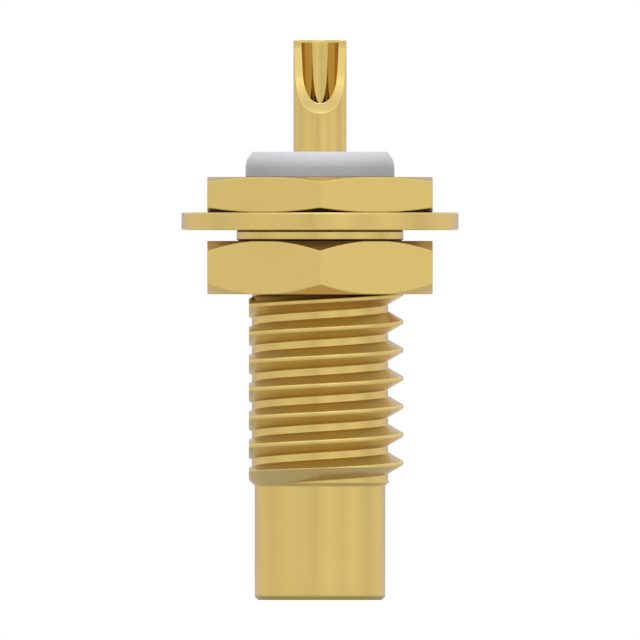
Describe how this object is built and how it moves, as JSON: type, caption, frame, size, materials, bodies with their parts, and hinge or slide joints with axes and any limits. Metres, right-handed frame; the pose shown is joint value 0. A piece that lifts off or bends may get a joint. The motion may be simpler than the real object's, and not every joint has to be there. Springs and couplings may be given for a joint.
{
  "type": "threaded coaxial panel jack",
  "caption": "Threaded coaxial panel jack with a solder cup, flatted thread, panel nut and washer.",
  "frame": {"origin": "where the axis meets the underside of the hexagonal flange, which is the seat on the panel", "axes": "+Z along the axis towards the solder cup, -Y towards the cup's window, -X towards the flat on the thread"},
  "size_m": [0.0078, 0.0078, 0.0158],
  "materials": {
    "gold_shell": "turned, gold plated",
    "gold_nut": "milled, gold plated",
    "gold_washer": "stamped, gold plated",
    "gold_contact": "turned, gold plated",
    "ptfe": "turned, waxy"
  },
  "bodies": {
    "jack": {"shell": "gold_shell", "rear_insulator": "ptfe", "front_insulator": "ptfe", "centre_contact": "gold_contact"},
    "washer": {"flat_washer": "gold_washer"},
    "nut": {"hex_nut": "gold_nut"}
  },
  "joints": [
    {"name": "washer_slide", "type": "slide", "parent": "jack", "child": "washer", "axis": [0, 0, 1], "range_m": [-0.0052, 0]},
    {"name": "nut_turn", "type": "hinge", "parent": "washer", "child": "nut", "pos_m": [0, 0, 0], "axis": [0, 0, 1], "range_deg": [-2360, 0]}
  ],
  "couplings": [
    {"joint": "nut_turn", "follows": "washer_slide", "rad_per_m": 7915.8}
  ]
}
